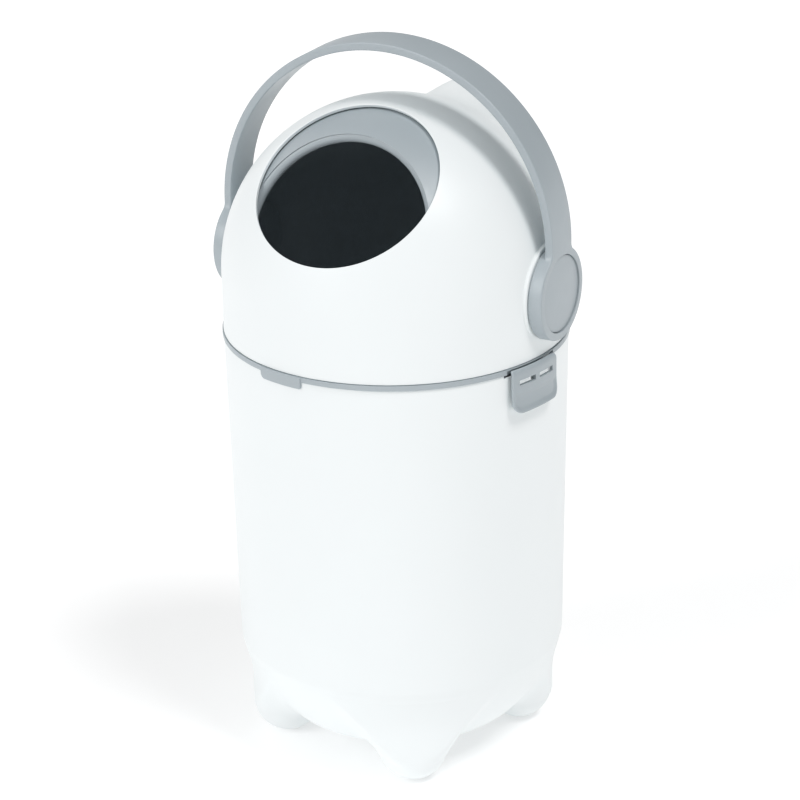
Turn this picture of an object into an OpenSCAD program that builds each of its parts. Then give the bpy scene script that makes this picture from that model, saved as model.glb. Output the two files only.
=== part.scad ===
// Nappy bin with a domed head, a turning drum worked by a hoop handle, and two side clasps.
// Millimetres. Z is up, the floor is Z = 0, the lifting tab faces -Y.

/* [View] */
// Which sub-part to draw

/* [Tub] */
// Outer radius of the tub at the seam under the dome
tub_r = 135; // [134:0.5:136]
// How much the radius shrinks for each millimetre down
tub_taper = 0.019; // [0.015:0.001:0.021]
// Height of the seam where the dome meets the collar
seam_z = 351; // [349:1:353]
// Wall thickness of the mouldings
wall = 3; // [2.8:0.1:3.2]
// Height where the side starts to curve in to the belly
belly_z = 90; // [89:0.5:91]
// Height of the flat underside
under_z = 27.5; // [27:0.5:28.5]
// Radius of the flat underside
under_r = 91; // [90:0.5:92]

/* [Feet] */
// Radius of the circle that the four feet stand on
foot_ring_r = 94.7; // [94:0.1:95.5]
// Radius of a rounded foot
foot_r = 27.5; // [27:0.1:28]
// How far a foot spreads out before it becomes the belly
foot_spread = 24; // [22:1:26]

/* [Head] */
// How far the whole head stands turned on the collar, in degrees
head_turn = 11.7; // [10:0.1:13]
// Height of the centre of the dome, which is also the handle's axis
hub_z = 397; // [396:0.5:398]
// Distance from the dome's centre to the plane of the mouth's edge
mouth_h = 113.6; // [112:0.1:116]
// Elevation of the mouth's middle, in degrees
mouth_tilt = 50.5; // [48:0.5:52]
// Height of the rear rest above the dome
rest_h = 47; // [44:1:50]
// Elevation of the rear rest, in degrees
rest_tilt = 37; // [35:0.5:39]
// Half of the angle that the rear rest's root covers, in degrees
rest_spread = 30; // [28:0.5:32]

/* [Drum] */
// Outer radius of the drum
drum_r = 131; // [130.8:0.1:131.2]
// Wall thickness of the drum
drum_wall = 2.5; // [2.3:0.1:2.7]
// Radius of the drum's hole
drum_hole_r = 72; // [70:0.5:73]
// Elevation of the drum's hole with the handle upright, in degrees
drum_tilt = 31.5; // [30:0.5:34]
// Radius of the drum's journals
journal_r = 14; // [13.5:0.1:14.5]

/* [Handle] */
// Outer radius of the hoop, and distance from the middle to a hub's outer face
hoop_r = 144; // [143.5:0.1:144.5]
// Thickness of the hoop
hoop_t = 6.5; // [6:0.1:6.6]
// Width of the hoop
hoop_w = 33.8; // [32:0.2:35]
// Straight length of each leg above the axis
leg_l = 38.5; // [37:0.5:40]
// Radius of the round hub discs
hub_r = 36.4; // [35.5:0.1:37]
// Radius of the caps set into the hubs
cap_r = 30; // [29:0.5:31]

/* [Clasps] */
// Half of the angle that a clasp covers, in degrees
clasp_half = 11; // [10.5:0.5:11.5]
// Height of the lower edge of a clasp
clasp_low_z = 315; // [314:0.5:316]
// Width of a clasp's slot
slot_w = 17.8; // [17.4:0.2:18.2]
// Height of a clasp's slot
slot_h = 4.4; // [4.2:0.1:4.8]
// Distance from the middle of a clasp to the middle of each slot
slot_off = 11.3; // [11:0.1:11.5]

/* [Hidden] */

white = [0.95, 0.97, 0.98];
grey = [0.64, 0.68, 0.71];
dark_rubber = [0.22, 0.24, 0.26];
steel = [0.75, 0.76, 0.78];

eps = 0.01;
big = 400;
fine = 180;
medium = 72;
small = 36;

// Heights of the stack from the tub's rim to the dome's edge
band_h = 5.5;
rim_z = seam_z - band_h - 1.5;
band_low_z = seam_z - band_h;
flange_t = 3;
flange_in_r = 123;
band_r = tub_r + 1;
band_in_r = tub_r - 3.2;
shadow_gap = 0.3;
band_under_z = rim_z + 2.75;
rim_lip_top_z = band_under_z - 0.25;
rim_lip_in_r = tub_r - 1;
rim_lip_root = 1;
tab_half = 8.4;
tab_low_z = seam_z - 9.5;
tab_corner_far_r = 4.5;
tab_corner_near_r = 1;
skirt_low_z = rim_z - 16;
skirt_gap = 0.4;
skirt_t = 2.2;

// Radius of the tub's outside at a height
function tub_out(z) = tub_r - tub_taper * (seam_z - z);

// Belly curve: flatter than a quarter of an ellipse, from the underside to the side
belly_steps = 14;
belly_power = 1.54;
belly_rise = belly_z - under_z;
belly_run = tub_out(belly_z) - under_r;
function belly_point(k, inset) = let (a = 90 * k / belly_steps)
    [under_r + (belly_run - inset) * pow(sin(a), belly_power),
     belly_z - (belly_rise - inset) * pow(cos(a), belly_power)];
function belly_curve(inset) = [for (k = [0 : belly_steps]) belly_point(k, inset)];

// Foot curve: the local radius grows with height until the foot is the belly
foot_steps = 8;
foot_curve_low = 21.7;
foot_curve_h = 53;
foot_power = 1.04;
function foot_flare(s) = foot_r + 1.31 * foot_spread * pow(s, foot_power);
function foot_point(k) = let (s = k / foot_steps) [foot_flare(s), foot_curve_low + foot_curve_h * s];
foot_angles = [45, 135, 225, 315];
foot_flat = 0.4;
foot_top_z = foot_curve_low + foot_curve_h;
leg_out_r = foot_ring_r + foot_r;

// Dome and its side plates
dome_r = tub_r;
dome_in_r = dome_r - wall;
mouth_r = sqrt(dome_r * dome_r - mouth_h * mouth_h);
plate_out_x = 132.3;
plate_in_x = 128.5;
plate_r = hub_r + 2.1;
bush_r = journal_r + 3;
journal_gap = 0.05;

// Rear rest: a bell that rises from the dome
rest_steps = 16;
rest_sink = 0.6;
function rest_bell(a, spread) = pow(0.5 + 0.5 * cos(180 * a / spread), 2);
function rest_point(a, base, height, spread) =
    let (r = base + height * rest_bell(a, spread)) [r * sin(a), r * cos(a)];
function rest_profile(base, height, spread, root) = concat(
    [for (k = [0 : rest_steps]) rest_point(spread * 0.9 * k / rest_steps, base, height, spread)],
    [[root * sin(spread * 0.9), root * cos(spread * 0.9)], [0, root * cos(spread * 0.9)]]);

// Drum
drum_in_r = drum_r - drum_wall;
drum_flat_x = 127.5;
drum_end_r = 27;
drum_plug_x = 122;
drum_flange_r = 33;
drum_flange_t = 2;
journal_end_x = 133.4;
hole_bead_r = 4.6;
bead_ring_r = drum_hole_r + hole_bead_r;
bead_h = sqrt(pow(drum_r - hole_bead_r, 2) - bead_ring_r * bead_ring_r);

// Hub stack along the axis
hub_in_x = 132.9;
socket_x = 138;
pocket_x = 140.2;
cap_x = 142;
cap_proud = 0.3;
cap_gap = 0.4;
hub_edge = 0.8;
hoop_round = 1.2;
tongue = 19;
screw_r = 2;
screw_head_r = 4.5;
screw_head_t = 1.6;
screw_tip_x = 125.5;

// Floor of the head, its wiper seal and its screws
floor_low_z = band_low_z - 4;
seal_t = 2;
seal_z = band_low_z - seal_t;
seal_in_r = sqrt(drum_r * drum_r - pow(hub_z - band_low_z, 2)) + 0.5;
seal_out_r = seal_in_r + 4;
boss_r = 3;
boss_ring_r = 128;
boss_top_z = 355;
floor_screw_angles = [30, 90, 150, 210, 270, 330];
floor_screw_r = 1.5;
floor_screw_head_r = 2.8;
floor_screw_head_t = 2;

// Clasps
clasp_in_r = tub_r + 2.8;
clasp_t = 2.6;
clasp_out_r = clasp_in_r + clasp_t;
pivot_x = tub_r + 1.2;
pivot_z = seam_z - 4.3;
barrel_r = 1.9;
shoulder_low_z = seam_z - 6;
shoulder_in_r = clasp_in_r - 0.8;
shoulder_top_r = clasp_in_r - 1.5;
shoulder_h = 4.7;
shoulder_steps = 6;
shoulder_turn = 80;
pocket_r = tub_r - 2.2;
pocket_top_z = seam_z - 1.15;
pocket_half = clasp_half + 0.9;
barrel_half = 10.6;
ear_low = 11;
ear_high = 14.5;
ear_clear = 0.35;
ear_arm_top_z = pivot_z + 0.8;
ear_gap_x = 0.7;
pin_r = 0.9;
pin_half = 14.2;
pin_gap = 0.05;
lip_rise = 2.1;
lip_len = 18;
lip_steps = 6;
lip_bead = 0.6;
slot_z = 339.2;
lug_out_r = clasp_in_r - 0.3;
lug_w = slot_w - 4.2;
lug_h = slot_h - 1.2;
lug_shift = -1.7;
lug_root_x = tub_r - 3.5;
corner_r = 9;

module tube(r_out, r_in, h, detail = fine) {
    difference() {
        cylinder(r = r_out, h = h, $fn = detail);
        translate([0, 0, -1]) cylinder(r = r_in, h = h + 2, $fn = detail);
    }
}

module along_x(x) {
    translate([x, 0, 0]) rotate([0, 90, 0]) children();
}

module on_head() {
    rotate([0, 0, head_turn]) translate([0, 0, hub_z]) children();
}

module facing(tilt) {
    rotate([90 - tilt, 0, 0]) children();
}

module right_and_left(left) {
    mirror([left ? 1 : 0, 0, 0]) children();
}

// White tub with its belly, four feet and the lugs for the clasps
module foot() {
    translate([0, 0, foot_r - foot_flat]) sphere(r = foot_r, $fn = medium);
    rotate_extrude($fn = medium) polygon(concat([[0, foot_curve_low], [foot_r - 0.6, foot_curve_low]],
        [for (k = [1 : foot_steps]) foot_point(k)], [[0, foot_top_z]]));
}

module tub_feet() {
    intersection() {
        union() {
            for (a = foot_angles) rotate([0, 0, a]) translate([foot_ring_r, 0, 0]) foot();
        }
        cylinder(r = leg_out_r, h = foot_top_z, $fn = fine);
    }
}

module tub_outside() {
    rotate_extrude($fn = fine)
        polygon(concat([[0, under_z]], belly_curve(0), [[tub_out(rim_z), rim_z], [0, rim_z]]));
}

module tub_inside() {
    rotate_extrude($fn = fine)
        polygon(concat([[0, under_z + wall]], belly_curve(wall),
            [[tub_out(rim_z) - wall, rim_z + 1], [0, rim_z + 1]]));
}

module tub_lugs() {
    for (side = [0, 1])
        rotate([0, 0, 180 * side]) for (y = [-slot_off, slot_off])
            intersection() {
                translate([lug_root_x, y + (side == 0 ? 1 : -1) * lug_shift - lug_w / 2, slot_z - lug_h / 2])
                    cube([10, lug_w, lug_h]);
                translate([0, 0, slot_z - 5]) cylinder(r = lug_out_r, h = 10, $fn = fine);
            }
}

module tub_rim_lip() {
    difference() {
        rotate_extrude($fn = fine) polygon([[rim_lip_in_r, rim_z - rim_lip_root],
            [tub_out(rim_z - rim_lip_root) - 0.05, rim_z - rim_lip_root], [tub_out(rim_z) - 0.05, rim_z],
            [tub_out(rim_lip_top_z), rim_lip_top_z], [rim_lip_in_r, rim_lip_top_z]]);
        for (side = [0, 180]) rotate([0, 0, side - pocket_half - 1])
            rotate_extrude(angle = 2 * pocket_half + 2, $fn = fine)
                translate([rim_lip_in_r - 5, rim_z]) square([20, 10]);
    }
}

module tub() {
    color(white) difference() {
        union() {
            tub_outside();
            tub_feet();
            tub_lugs();
            tub_rim_lip();
        }
        tub_inside();
        translate([-big / 2, -big / 2, -big]) cube(big);
    }
}

// Grey collar that carries the clasps and the dome, with the lifting tab at the front
module collar_section() {
    polygon([[flange_in_r, band_low_z], [rim_lip_in_r - 0.3, band_low_z], [rim_lip_in_r - 0.3, band_under_z],
        [band_r, band_under_z], [band_r, seam_z - shadow_gap],
        [dome_r - 1, seam_z - shadow_gap], [dome_r - 1, seam_z], [band_in_r, seam_z],
        [band_in_r, band_low_z + flange_t], [flange_in_r, band_low_z + flange_t]]);
}

module rounded_window(half_w, low, far_r, near_r) {
    translate([-half_w, low + max(far_r, near_r)]) square([2 * half_w, big]);
    translate([-half_w + far_r, low]) square([2 * half_w - far_r - near_r, big]);
    translate([-half_w + far_r, low + far_r]) circle(r = far_r, $fn = medium);
    translate([half_w - near_r, low + near_r]) circle(r = near_r, $fn = medium);
    translate([0, low + near_r]) square([half_w, big]);
}

module collar_tab() {
    intersection() {
        translate([0, 0, tab_low_z]) tube(band_r + 1, band_r - 0.7, seam_z - shadow_gap - tab_low_z);
        translate([0, -tub_r + 10, 0]) rotate([90, 0, 0]) linear_extrude(40)
            rounded_window(band_r * sin(tab_half), tab_low_z, tab_corner_far_r, tab_corner_near_r);
    }
}

module collar_ears() {
    for (y = [-ear_high, ear_low]) {
        translate([pivot_x, y, pivot_z]) rotate([-90, 0, 0])
            cylinder(r = barrel_r, h = ear_high - ear_low, $fn = small);
        translate([129, y, band_low_z])
            cube([pivot_x - 129, ear_high - ear_low, ear_arm_top_z - band_low_z]);
    }
}

module collar_clasp_pocket() {
    rotate([0, 0, -pocket_half]) rotate_extrude(angle = 2 * pocket_half, $fn = fine)
        translate([pocket_r, band_low_z - 8]) square([20, pocket_top_z - band_low_z + 8]);
}

module collar() {
    color(grey) difference() {
        union() {
            difference() {
                union() {
                    rotate_extrude($fn = fine) collar_section();
                    collar_tab();
                }
                for (side = [0, 180]) rotate([0, 0, side]) collar_clasp_pocket();
            }
            for (side = [0, 180]) rotate([0, 0, side]) collar_ears();
        }
        for (side = [0, 180])
            rotate([0, 0, side]) translate([pivot_x, -pin_half, pivot_z]) rotate([-90, 0, 0])
                cylinder(r = pin_r, h = 2 * pin_half, $fn = small);
        for (a = floor_screw_angles)
            rotate([0, 0, a + head_turn]) translate([boss_ring_r, 0, band_low_z - 1])
                cylinder(r = floor_screw_r + 0.2, h = flange_t + 2, $fn = small);
    }
}

module collar_gasket() {
    color(dark_rubber) translate([0, 0, rim_z])
        tube(rim_lip_in_r - 0.35, tub_r - wall + 0.2, band_low_z - rim_z);
}

// White dome with the mouth, flat side plates, screw bosses and the rear rest
module rest_shape(base, height, spread, root) {
    facing_rear() rotate_extrude($fn = medium) polygon(rest_profile(base, height, spread, root));
}

module facing_rear() {
    rotate([-(90 - rest_tilt), 0, 0]) children();
}

module dome_outside() {
    intersection() {
        sphere(r = dome_r, $fn = fine);
        translate([-big / 2, -big / 2, 0]) cube(big);
    }
    translate([0, 0, seam_z - hub_z]) cylinder(r = dome_r, h = hub_z - seam_z, $fn = fine);
    rest_shape(dome_r - rest_sink, rest_h, rest_spread, dome_r - 2 * wall);
}

module dome_inside() {
    sphere(r = dome_in_r, $fn = fine);
    translate([0, 0, seam_z - hub_z - 1]) cylinder(r = dome_in_r, h = hub_z - seam_z + 1, $fn = fine);
    rest_shape(dome_in_r - rest_sink, rest_h - wall / 2, rest_spread - 4, dome_in_r - 2 * wall);
}

module side_plates() {
    for (side = [0, 180])
        rotate([0, 0, side]) along_x(plate_in_x)
            cylinder(r = plate_r, h = plate_out_x - plate_in_x, $fn = fine);
}

module dome_bosses() {
    for (a = floor_screw_angles)
        rotate([0, 0, a]) {
            translate([boss_ring_r, 0, band_low_z + flange_t - hub_z])
                cylinder(r = boss_r, h = boss_top_z - band_low_z - flange_t, $fn = small);
            translate([boss_ring_r, -boss_r, seam_z - hub_z + 0.4])
                cube([dome_in_r + 1 - boss_ring_r, 2 * boss_r, boss_top_z - seam_z - 0.4]);
        }
}

module mouth_groove() {
    facing(mouth_tilt) translate([0, 0, mouth_h - 14])
        difference() {
            cylinder(r = mouth_r + 6, h = 14, $fn = fine);
            translate([0, 0, -1]) cylinder(r = mouth_r + 3, h = 16, $fn = fine);
        }
}

module dome() {
    color(white) on_head() difference() {
        union() {
            difference() {
                dome_outside();
                dome_inside();
                for (side = [0, 180])
                    rotate([0, 0, side]) along_x(plate_out_x) cylinder(r = plate_r, h = 20, $fn = fine);
            }
            side_plates();
            dome_bosses();
        }
        facing(mouth_tilt) cylinder(r = mouth_r, h = big, $fn = fine);
        intersection() {
            mouth_groove();
            sphere(r = dome_in_r + wall / 2, $fn = fine);
        }
        for (side = [0, 180])
            rotate([0, 0, side]) along_x(plate_in_x - 5) cylinder(r = bush_r, h = 20, $fn = medium);
        for (a = floor_screw_angles)
            rotate([0, 0, a]) translate([boss_ring_r, 0, band_low_z - hub_z])
                cylinder(r = floor_screw_r, h = boss_top_z - band_low_z - 2.5, $fn = small);
    }
}

// Rubber lip in a groove behind the mouth's edge
module mouth_seal() {
    color(dark_rubber) on_head() intersection() {
        mouth_groove();
        difference() {
            sphere(r = dome_in_r + wall / 2, $fn = fine);
            sphere(r = drum_r + 0.4, $fn = fine);
        }
    }
}

// Ring plate that closes the head around the drum, with its rubber wiper
module head_floor() {
    skirt_out_r = tub_out(skirt_low_z) - wall - skirt_gap;
    color(white) difference() {
        union() {
            translate([0, 0, floor_low_z]) tube(skirt_out_r, seal_in_r + 1.5, band_low_z - floor_low_z);
            translate([0, 0, skirt_low_z])
                tube(skirt_out_r, skirt_out_r - skirt_t, floor_low_z - skirt_low_z + eps);
        }
        translate([0, 0, seal_z]) cylinder(r = seal_out_r, h = 10, $fn = fine);
        for (a = floor_screw_angles)
            rotate([0, 0, a + head_turn]) translate([boss_ring_r, 0, 0]) {
                translate([0, 0, floor_low_z - 1]) cylinder(r = floor_screw_r + 0.2, h = 20, $fn = small);
                translate([0, 0, skirt_low_z - 1])
                    cylinder(r = floor_screw_head_r + 0.8, $fn = small,
                        h = floor_low_z + floor_screw_head_t - skirt_low_z + 1);
            }
    }
}

module floor_seal() {
    color(dark_rubber) translate([0, 0, seal_z]) tube(seal_out_r, seal_in_r, seal_t);
}

module floor_screws() {
    color(steel) for (a = floor_screw_angles)
        rotate([0, 0, a + head_turn]) translate([boss_ring_r, 0, 0]) {
            translate([0, 0, floor_low_z + 1])
                cylinder(r = floor_screw_r, h = boss_top_z - 3 - floor_low_z - 1, $fn = small);
            difference() {
                translate([0, 0, floor_low_z])
                    cylinder(r = floor_screw_head_r, h = floor_screw_head_t, $fn = small);
                translate([-1.8, -0.4, floor_low_z - 1]) cube([3.6, 0.8, 1.8]);
                translate([-0.4, -1.8, floor_low_z - 1]) cube([0.8, 3.6, 1.8]);
            }
        }
}

// Plain bushes that the drum's journals turn in
module bush(left) {
    color(grey) on_head() right_and_left(left) along_x(plate_in_x)
        tube(bush_r, journal_r + journal_gap, plate_out_x - plate_in_x, medium);
}

module bush_right() {
    bush(false);
}

module bush_left() {
    bush(true);
}

// Drum: two half shells, the front one with the round hole, and an end disc with a journal each side
module drum_ball() {
    difference() {
        sphere(r = drum_r, $fn = fine);
        sphere(r = drum_in_r, $fn = fine);
        for (side = [0, 180])
            rotate([0, 0, side]) {
                along_x(drum_flat_x) cylinder(r = 60, h = 20, $fn = medium);
                along_x(drum_plug_x - 10) cylinder(r = drum_end_r, h = 40, $fn = medium);
            }
    }
}

module drum_half(z_sign) {
    intersection() {
        drum_ball();
        facing(drum_tilt) translate([-big / 2, -big / 2, z_sign > 0 ? 0 : -big]) cube(big);
    }
}

module drum_front() {
    color(grey) on_head() {
        difference() {
            drum_half(1);
            facing(drum_tilt) cylinder(r = bead_ring_r, h = big, $fn = fine);
        }
        facing(drum_tilt) translate([0, 0, bead_h])
            rotate_extrude($fn = fine) translate([bead_ring_r, 0]) circle(r = hole_bead_r, $fn = small);
    }
}

module drum_rear() {
    color(grey) on_head() drum_half(-1);
}

module drum_end(left) {
    color(grey) on_head() right_and_left(left) difference() {
        union() {
            along_x(drum_plug_x) cylinder(r = drum_end_r, h = drum_flat_x - drum_plug_x, $fn = medium);
            along_x(drum_plug_x) cylinder(r = drum_flange_r, h = drum_flange_t, $fn = medium);
            along_x(drum_flat_x - 1)
                cylinder(r = journal_r, h = journal_end_x - drum_flat_x + 1, $fn = medium);
            translate([journal_end_x - 1, -tongue / 2, -tongue / 2])
                cube([socket_x - journal_end_x + 1, tongue, tongue]);
        }
        along_x(screw_tip_x) cylinder(r = screw_r, h = 30, $fn = small);
    }
}

module drum_end_right() {
    drum_end(false);
}

module drum_end_left() {
    drum_end(true);
}

// Hoop handle with a round hub at each end
module rounded_bar(t, w, r) {
    square([t - 2 * r, w], center = true);
    square([t, w - 2 * r], center = true);
    for (x = [-1, 1], y = [-1, 1])
        translate([x * (t / 2 - r), y * (w / 2 - r)]) circle(r = r, $fn = small);
}

module hoop() {
    translate([0, 0, leg_l]) rotate([90, 0, 0]) rotate_extrude(angle = 180, $fn = fine)
        translate([hoop_r - hoop_t / 2, 0]) rounded_bar(hoop_t, hoop_w, hoop_round);
    for (side = [-1, 1])
        translate([side * (hoop_r - hoop_t / 2), 0, 0])
            linear_extrude(leg_l) rounded_bar(hoop_t, hoop_w, hoop_round);
}

module hub_disc() {
    along_x(hub_in_x) cylinder(r = hub_r, h = hoop_r - hub_in_x - hub_edge, $fn = fine);
    along_x(hoop_r - hub_edge) cylinder(r1 = hub_r, r2 = hub_r - hub_edge, h = hub_edge, $fn = fine);
}

module hub_hollows() {
    along_x(pocket_x) cylinder(r = cap_r + cap_gap, h = 20, $fn = fine);
    along_x(hub_in_x - 1) cylinder(r = journal_r, h = journal_end_x - hub_in_x + 1, $fn = medium);
    translate([journal_end_x - eps, -tongue / 2, -tongue / 2])
        cube([socket_x - journal_end_x + eps, tongue, tongue]);
    along_x(socket_x - 1) cylinder(r = screw_r + 0.2, h = 5, $fn = small);
}

module handle() {
    color(grey) on_head() difference() {
        union() {
            difference() {
                hoop();
                for (side = [0, 180])
                    rotate([0, 0, side]) along_x(hub_in_x - 5) cylinder(r = hub_r - 2, h = 30, $fn = fine);
            }
            for (side = [0, 180]) rotate([0, 0, side]) hub_disc();
        }
        for (side = [0, 180]) rotate([0, 0, side]) hub_hollows();
    }
}

module hub_cap(left) {
    color(grey) on_head() right_and_left(left) {
        along_x(cap_x) cylinder(r = cap_r, h = hoop_r + cap_proud - cap_x - hub_edge, $fn = fine);
        along_x(hoop_r + cap_proud - hub_edge)
            cylinder(r1 = cap_r, r2 = cap_r - hub_edge, h = hub_edge, $fn = fine);
        along_x(pocket_x) tube(cap_r, cap_r - 1.4, cap_x - pocket_x + eps);
    }
}

module hub_cap_right() {
    hub_cap(false);
}

module hub_cap_left() {
    hub_cap(true);
}

module hub_screws() {
    color(steel) on_head() for (side = [0, 180])
        rotate([0, 0, side]) difference() {
            union() {
                along_x(screw_tip_x) cylinder(r = screw_r, h = pocket_x - screw_tip_x + eps, $fn = small);
                along_x(pocket_x) cylinder(r = screw_head_r, h = screw_head_t, $fn = small);
            }
            translate([pocket_x + screw_head_t - 0.8, -2.4, -0.5]) cube([2, 4.8, 1]);
            translate([pocket_x + screw_head_t - 0.8, -0.5, -2.4]) cube([2, 1, 4.8]);
        }
}

// Side clasps: a curved flap with a finger lip, two slots and a hinge barrel on a pin
function lip_out(s) = lip_rise * s * s;
function shoulder_point(k) = let (a = shoulder_turn * k / shoulder_steps)
    [shoulder_in_r + (clasp_out_r - shoulder_in_r) * cos(a), shoulder_low_z + shoulder_h * sin(a)];
clasp_profile = concat(
    [[shoulder_top_r, shoulder_point(shoulder_steps)[1]], [shoulder_top_r, pivot_z + 1.1],
        [shoulder_in_r, pivot_z], [clasp_in_r, shoulder_low_z]],
    [for (k = [0 : lip_steps]) let (s = k / lip_steps)
        [clasp_in_r + lip_out(s), clasp_low_z + lip_len * (1 - s)]],
    [for (k = [lip_steps : -1 : 0]) let (s = k / lip_steps)
        [clasp_out_r + lip_out(s) + lip_bead * pow(s, 4), clasp_low_z + lip_len * (1 - s) + 1.4 * s]],
    [for (k = [0 : shoulder_steps]) shoulder_point(k)]);

module ear_gap(y) {
    gap_w = ear_high - ear_low + 2 * ear_clear;
    translate([pivot_x, y - ear_clear, pivot_z]) rotate([-90, 0, 0])
        cylinder(r = barrel_r + ear_clear, h = gap_w, $fn = small);
    translate([pivot_x + ear_gap_x - 10, y - ear_clear, pivot_z]) cube([10, gap_w, 10]);
}

module clasp_flap() {
    intersection() {
        difference() {
            rotate([0, 0, -clasp_half]) rotate_extrude(angle = 2 * clasp_half, $fn = fine)
                polygon(clasp_profile);
            for (y = [-ear_high, ear_low]) ear_gap(y);
            for (y = [-slot_off, slot_off])
                translate([pivot_x - 10, y - slot_w / 2, slot_z - slot_h / 2]) cube([20, slot_w, slot_h]);
        }
        translate([pivot_x - 20, 0, 0]) rotate([90, 0, 90]) linear_extrude(40)
            rounded_window(clasp_out_r * sin(clasp_half) + 1, clasp_low_z, corner_r, corner_r);
    }
}

module clasp(left) {
    color(grey) rotate([0, 0, left ? 180 : 0]) difference() {
        union() {
            clasp_flap();
            translate([pivot_x, -barrel_half, pivot_z]) rotate([-90, 0, 0])
                cylinder(r = barrel_r, h = 2 * barrel_half, $fn = small);
        }
        translate([pivot_x, -barrel_half - 1, pivot_z]) rotate([-90, 0, 0])
            cylinder(r = pin_r + pin_gap, h = 2 * barrel_half + 2, $fn = small);
    }
}

module clasp_right() {
    clasp(false);
}

module clasp_left() {
    clasp(true);
}

module clasp_pin(left) {
    color(steel) rotate([0, 0, left ? 180 : 0]) translate([pivot_x, -pin_half, pivot_z]) rotate([-90, 0, 0])
        cylinder(r = pin_r, h = 2 * pin_half, $fn = small);
}

module clasp_pin_right() {
    clasp_pin(false);
}

module clasp_pin_left() {
    clasp_pin(true);
}

tub();
collar();
collar_gasket();
dome();
mouth_seal();
head_floor();
floor_seal();
floor_screws();
bush_right();
bush_left();
drum_front();
drum_rear();
drum_end_right();
drum_end_left();
handle();
hub_cap_right();
hub_cap_left();
hub_screws();
clasp_right();
clasp_left();
clasp_pin_right();
clasp_pin_left();
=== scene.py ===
"""Nappy bin: the looks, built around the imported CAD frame.

The CAD nodes carry the mechanism. The tub, the dome, the handle, its caps and the clasps get smoother skins
here, with rounded edges and blended feet. Shapes are worked out in millimetres and turned into metres when
the mesh is made. Head shapes are made upright about the dome's centre and then turned with the head.
"""

import math

import bmesh
import bpy
import numpy as np
from mathutils import Matrix, Vector


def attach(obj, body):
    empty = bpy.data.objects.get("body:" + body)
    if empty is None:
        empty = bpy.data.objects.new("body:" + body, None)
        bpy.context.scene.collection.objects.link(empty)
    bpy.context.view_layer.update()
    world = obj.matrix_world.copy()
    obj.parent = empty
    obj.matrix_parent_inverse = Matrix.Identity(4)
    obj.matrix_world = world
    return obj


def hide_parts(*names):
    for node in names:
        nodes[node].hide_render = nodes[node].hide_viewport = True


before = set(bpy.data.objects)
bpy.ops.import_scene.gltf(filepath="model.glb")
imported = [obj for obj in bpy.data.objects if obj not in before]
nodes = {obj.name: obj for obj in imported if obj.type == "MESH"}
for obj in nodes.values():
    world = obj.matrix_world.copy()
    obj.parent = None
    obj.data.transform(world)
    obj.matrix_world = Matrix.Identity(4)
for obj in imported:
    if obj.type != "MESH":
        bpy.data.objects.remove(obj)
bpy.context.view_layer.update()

MM = 0.001

# Driving dimensions in millimetres, those of the CAD. BELLY_POWER belongs to this skin's form of the curve
TUB_R = 135.0
TUB_TAPER = 0.019
SEAM_Z = 351.0
RIM_Z = 344.0
WALL = 3.0
BELLY_Z = 90.0
BELLY_POWER = 1.3
UNDER_Z = 27.5
UNDER_R = 91.0
FOOT_RING_R = 94.7
FOOT_R = 27.5
FOOT_FLAT = 0.4
FOOT_SPREAD = 24.0
FLARE_LOW_Z = 21.7
FLARE_HIGH_Z = 62.4
FLARE_TOP_Z = 74.7
FLARE_POWER = 1.04
HEAD_TURN = math.radians(11.7)
HUB_Z = 397.0
MOUTH_H = 113.6
MOUTH_TILT = math.radians(50.5)
REST_H = 47.0
REST_SINK = 0.6
REST_TILT = math.radians(37)
REST_SPREAD = math.radians(30)
HOOP_R = 144.0
HOOP_T = 6.5
HOOP_W = 33.8
LEG_L = 38.5
HUB_R = 36.4
HUB_IN_X = 132.9
CAP_R = 30.0
CAP_POCKET_X = 140.2
SEAT_R = 38.5
SEAT_X = 132.3
SEAT_IN_X = 128.5
BUSH_R = 17.0

# Shading: sharp edges are those bent by more than these angles, in degrees
SHARP_BODY = 40
SHARP_SMALL = 35
# Steps round a full turn of a large ring, of an ear's room and of a clasp's barrel
RING_STEPS = 240
BORE_STEPS = 48
BARREL_STEPS = 64
# Smallest number that a formula divides by
TINY = 1e-6
# Vertices closer than this are one, in metres
WELD = 1e-6


# Mesh helpers
def signed_volume(mesh):
    mesh.calc_loop_triangles()
    points = np.empty(len(mesh.vertices) * 3)
    mesh.vertices.foreach_get("co", points)
    points = points.reshape(-1, 3)
    corners = np.empty(len(mesh.loop_triangles) * 3, dtype=np.int32)
    mesh.loop_triangles.foreach_get("vertices", corners)
    a, b, c = (points[corners.reshape(-1, 3)[:, k]] for k in range(3))
    return float(np.einsum("ij,ij->i", a, np.cross(b, c)).sum() / 6)


def new_piece(name, points, faces, place=Matrix.Identity(4)):
    """A closed mesh from points in millimetres, turned outwards and shaded smooth up to the sharp angle."""
    mesh = bpy.data.meshes.new(name)
    mesh.from_pydata((np.asarray(points, dtype=float) * MM).tolist(), [], faces)
    mesh.transform(place)
    if signed_volume(mesh) < 0:
        mesh.flip_normals()
    piece = bpy.data.objects.new(name, mesh)
    bpy.context.scene.collection.objects.link(piece)
    shade(mesh, SHARP_BODY)
    return piece


def shade(mesh, sharp):
    mesh.polygons.foreach_set("use_smooth", [True] * len(mesh.polygons))
    mesh.set_sharp_from_angle(angle=math.radians(sharp))
    mesh.update()


def grid_faces(rows, columns, close_rows=False):
    """Quads of a grid whose columns run round and close, and whose rows close as well if asked."""
    last = rows if close_rows else rows - 1
    row = np.arange(last)[:, None]
    column = np.arange(columns)[None, :]
    next_row = (row + 1) % rows
    next_column = (column + 1) % columns
    corners = (row * columns + column, row * columns + next_column,
               next_row * columns + next_column, next_row * columns + column)
    return np.stack(np.broadcast_arrays(*corners), axis=-1).reshape(-1, 4).tolist()


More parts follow.
